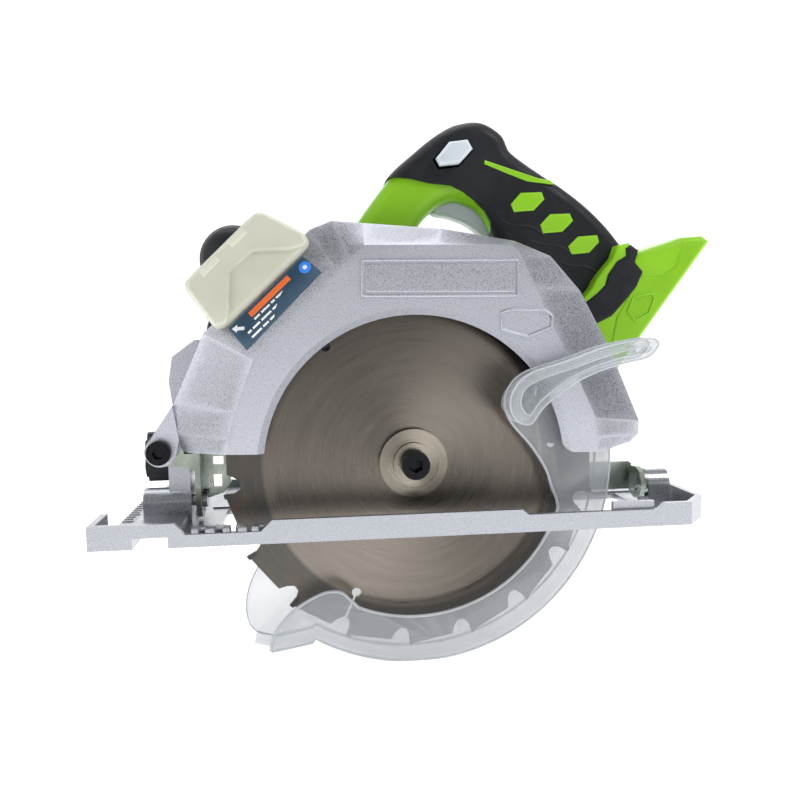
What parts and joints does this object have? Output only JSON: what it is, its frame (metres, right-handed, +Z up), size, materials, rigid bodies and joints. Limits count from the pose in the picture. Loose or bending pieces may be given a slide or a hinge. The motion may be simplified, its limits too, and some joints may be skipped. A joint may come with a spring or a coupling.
{
  "type": "circular saw",
  "caption": "Cordless circular saw with cast upper guard, clear swinging lower guard, tilting base plate, loop handle with trigger and side motor.",
  "frame": {"origin": "on the underside of the sole, in the blade's plane, straight below the arbor", "axes": "+X from the front of the saw to its rear, +Y from the blade side to the motor side, +Z up"},
  "size_m": [0.3075, 0.162, 0.2652],
  "materials": {
    "cast_aluminium": "textured silver paint",
    "base_aluminium": "satin cast",
    "blade_steel": "brushed",
    "carbide": "ground",
    "flange_steel": "turned",
    "black_steel": "black oxide",
    "zinc_steel": "zinc plated",
    "bright_steel": "ground",
    "green_plastic": "fine moulded",
    "black_rubber": "matt",
    "black_plastic": "fine moulded",
    "grey_plastic": "fine moulded",
    "clear_guard": "clear polycarbonate",
    "milky_plastic": "translucent",
    "label": "printed",
    "copper": "drawn",
    "brass": "turned",
    "magnet_steel": "plain",
    "laser_glass": "polished"
  },
  "bodies": {
    "saw_body": {"battery_contacts": "brass", "battery_rails": "black_plastic", "brush_holders": "brass", "carbon_brushes": "magnet_steel", "depth_clamp_bolt": "bright_steel", "depth_pivot_screw": "black_steel", "end_cap_screws": "bright_steel", "front_knob": "black_rubber", "gear_case_screws": "bright_steel", "gear_housing": "cast_aluminium", "grip_pad_left": "black_rubber", "grip_pad_right": "black_rubber", "guard_circlip": "bright_steel", "guard_spring": "bright_steel", "guard_stop": "black_rubber", "handle_shell_left": "green_plastic", "handle_shell_right": "green_plastic", "laser_housing": "milky_plastic", "laser_label": "label", "laser_module": "brass", "laser_window": "laser_glass", "motor_end_cap": "black_plastic", "motor_housing": "black_plastic", "rotor_bearing_front": "bright_steel", "rotor_bearing_rear": "bright_steel", "shell_screws": "bright_steel", "spindle_bearing_front": "bright_steel", "spindle_bearing_rear": "bright_steel", "stator": "magnet_steel", "terminal_block": "black_plastic", "trigger_pin": "bright_steel", "trigger_switch": "black_plastic", "upper_guard": "cast_aluminium"},
    "blade_spindle": {"saw_blade": "blade_steel", "carbide_tips": "carbide", "outer_flange": "flange_steel", "inner_flange": "flange_steel", "blade_bolt": "black_steel", "spindle": "bright_steel", "drive_gear": "bright_steel"},
    "rotor": {"rotor_shaft": "bright_steel", "pinion": "bright_steel", "armature": "magnet_steel", "commutator": "copper", "cooling_fan": "black_plastic"},
    "lower_guard_body": {"lower_guard_cover": "clear_guard", "lower_guard_rim": "clear_guard", "lower_guard_back": "clear_guard"},
    "depth_frame": {"front_bracket": "zinc_steel", "rear_quadrant": "zinc_steel", "bevel_rivets": "bright_steel", "rear_washer": "zinc_steel", "bevel_lock_bolt": "bright_steel"},
    "sole": {"base_plate": "base_aluminium"},
    "bevel_knob": {"bevel_lock_knob": "black_plastic"},
    "depth_lever": {"depth_lock_lever": "black_plastic"},
    "trigger_body": {"trigger": "grey_plastic"},
    "lock_off": {"lock_off_button": "grey_plastic"},
    "spindle_lock": {"spindle_lock_button": "black_plastic"},
    "fence_screw": {"fence_clamp_screw": "zinc_steel"}
  },
  "joints": [
    {"name": "blade_spin", "type": "hinge", "parent": "saw_body", "child": "blade_spindle", "pos_m": [0, 0, 0.029], "axis": [0, 1, 0], "continuous": true},
    {"name": "rotor_spin", "type": "hinge", "parent": "saw_body", "child": "rotor", "pos_m": [0, 0.03, 0.053], "axis": [0, 1, 0], "continuous": true},
    {"name": "lower_guard_swing", "type": "hinge", "parent": "saw_body", "child": "lower_guard_body", "pos_m": [0, 0.009, 0.029], "axis": [0, -1, 0], "range_deg": [0, 122], "stiffness_Nm_per_rad": 0.05, "springref_deg": -85.94},
    {"name": "depth_tilt", "type": "hinge", "parent": "saw_body", "child": "depth_frame", "pos_m": [-0.1185, 0, 0.0386], "axis": [0, 1, 0], "range_deg": [0, 30]},
    {"name": "bevel_tilt", "type": "hinge", "parent": "depth_frame", "child": "sole", "pos_m": [0, 0.008, 0.0128], "axis": [-1, 0, 0], "range_deg": [0, 45]},
    {"name": "bevel_knob_turn", "type": "hinge", "parent": "depth_frame", "child": "bevel_knob", "pos_m": [-0.1245, 0.02709, 0.03189], "axis": [1, 0, 0], "range_deg": [0, 180]},
    {"name": "depth_lever_turn", "type": "hinge", "parent": "saw_body", "child": "depth_lever", "pos_m": [0.05144, 0.024, 0.04305], "axis": [0, -1, 0], "range_deg": [0, 50]},
    {"name": "trigger_pull", "type": "hinge", "parent": "saw_body", "child": "trigger_body", "pos_m": [0.021, 0.045, 0.164], "axis": [0, -1, 0], "range_deg": [0, 10], "stiffness_Nm_per_rad": 0.6, "springref_deg": -11.46},
    {"name": "lock_off_press", "type": "slide", "parent": "saw_body", "child": "lock_off", "axis": [0, 1, 0], "range_m": [0, 0.0035], "stiffness_N_per_m": 300, "springref_m": -0.003},
    {"name": "spindle_lock_press", "type": "slide", "parent": "saw_body", "child": "spindle_lock", "axis": [1, 0, 0], "range_m": [0, 0.0025], "stiffness_N_per_m": 300, "springref_m": -0.003},
    {"name": "fence_screw_turn", "type": "hinge", "parent": "sole", "child": "fence_screw", "pos_m": [-0.1195, 0.062, 0.02], "axis": [0, 0, 1], "range_deg": [-180, 180]}
  ],
  "couplings": [
    {"joint": "rotor_spin", "follows": "blade_spin", "ratio": -3.8}
  ]
}
